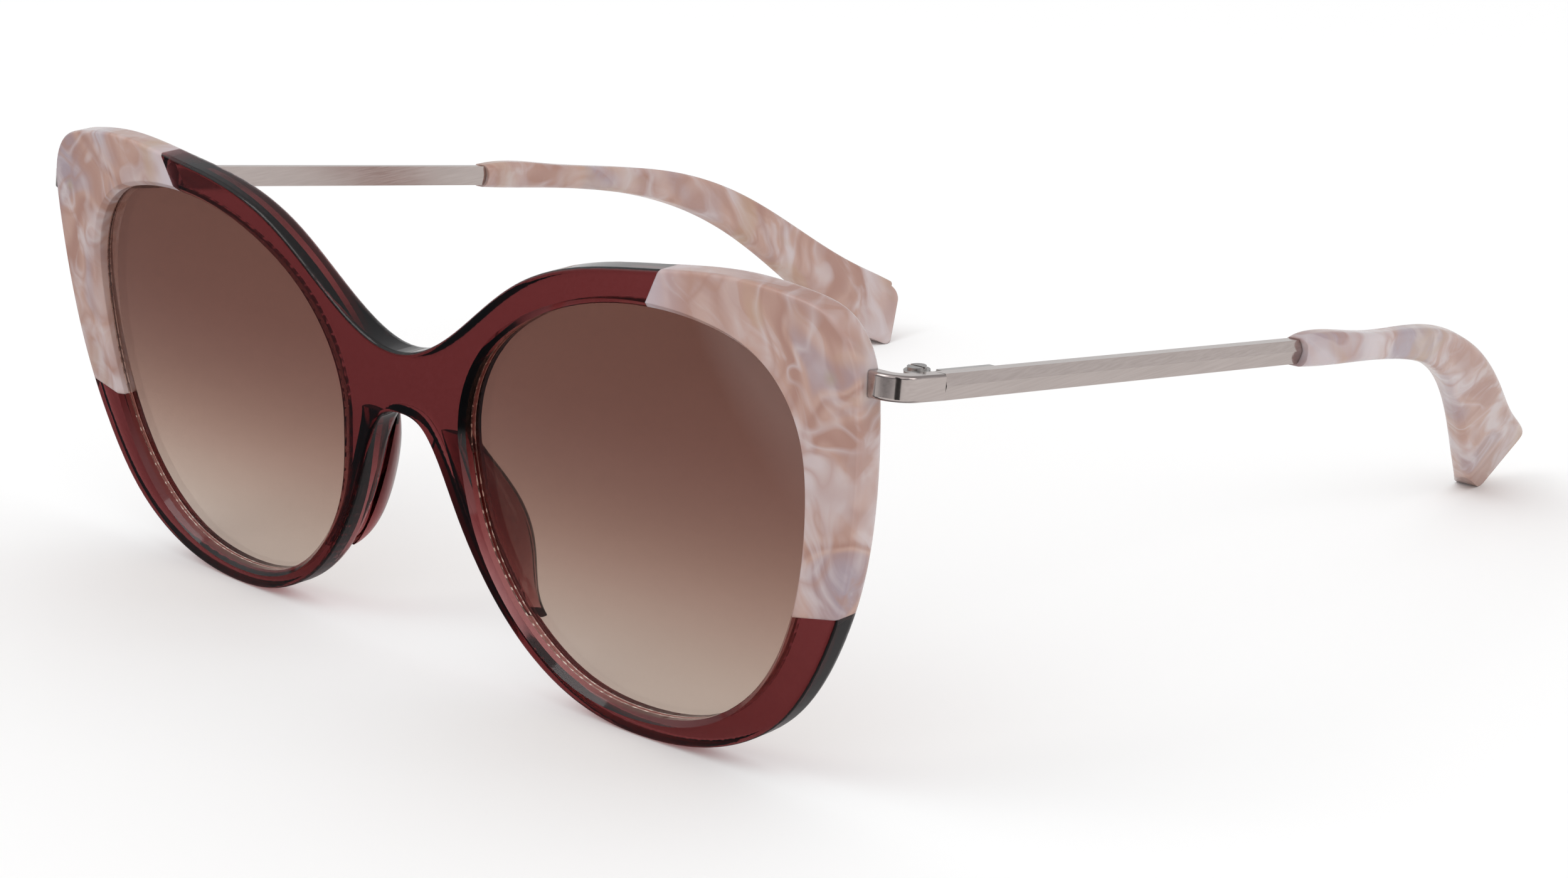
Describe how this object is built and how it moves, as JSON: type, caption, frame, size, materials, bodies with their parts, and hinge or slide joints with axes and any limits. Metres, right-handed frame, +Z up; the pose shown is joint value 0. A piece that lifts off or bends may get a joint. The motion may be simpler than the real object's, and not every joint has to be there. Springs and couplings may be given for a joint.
{
  "type": "cat eye sunglasses",
  "caption": "Cat eye sunglasses with an acetate front, tinted lenses and folding metal temples with acetate tips.",
  "frame": {"origin": "under the middle of the bounding box, on the surface that the rim bottoms and temple tips stand on", "axes": "+Z up, +X to the wearer's left, -Y the way the front faces"},
  "size_m": [0.148, 0.1334, 0.0525],
  "materials": {
    "acetate_burgundy": "polished translucent acetate",
    "acetate_marble": "polished pearl marbled acetate",
    "lens_tint": "brown gradient",
    "rose_metal": "polished, rose taupe",
    "hinge_metal": "satin"
  },
  "bodies": {
    "front": {"front_frame": "acetate_burgundy", "corner_block_left": "acetate_marble", "corner_block_right": "acetate_marble", "lens_left": "lens_tint", "lens_right": "lens_tint", "nose_pad_left": "acetate_burgundy", "nose_pad_right": "acetate_burgundy", "endpiece_left": "rose_metal", "endpiece_right": "rose_metal", "endpiece_rivet_left": "hinge_metal", "endpiece_rivet_right": "hinge_metal", "hinge_front_left": "hinge_metal", "hinge_front_right": "hinge_metal", "hinge_screw_left": "hinge_metal", "hinge_screw_right": "hinge_metal"},
    "temple_left": {"temple_bar_left": "rose_metal", "hinge_rear_left": "hinge_metal", "temple_tip_left": "acetate_marble"},
    "temple_right": {"temple_bar_right": "rose_metal", "hinge_rear_right": "hinge_metal", "temple_tip_right": "acetate_marble"}
  },
  "joints": [
    {"name": "temple_left_fold", "type": "hinge", "parent": "front", "child": "temple_left", "pos_m": [0.0709, -0.05795, 0.04338], "axis": [0, 0, 1], "range_deg": [0, 82]},
    {"name": "temple_right_fold", "type": "hinge", "parent": "front", "child": "temple_right", "pos_m": [-0.0709, -0.05795, 0.04338], "axis": [0, 0, -1], "range_deg": [0, 78]}
  ]
}
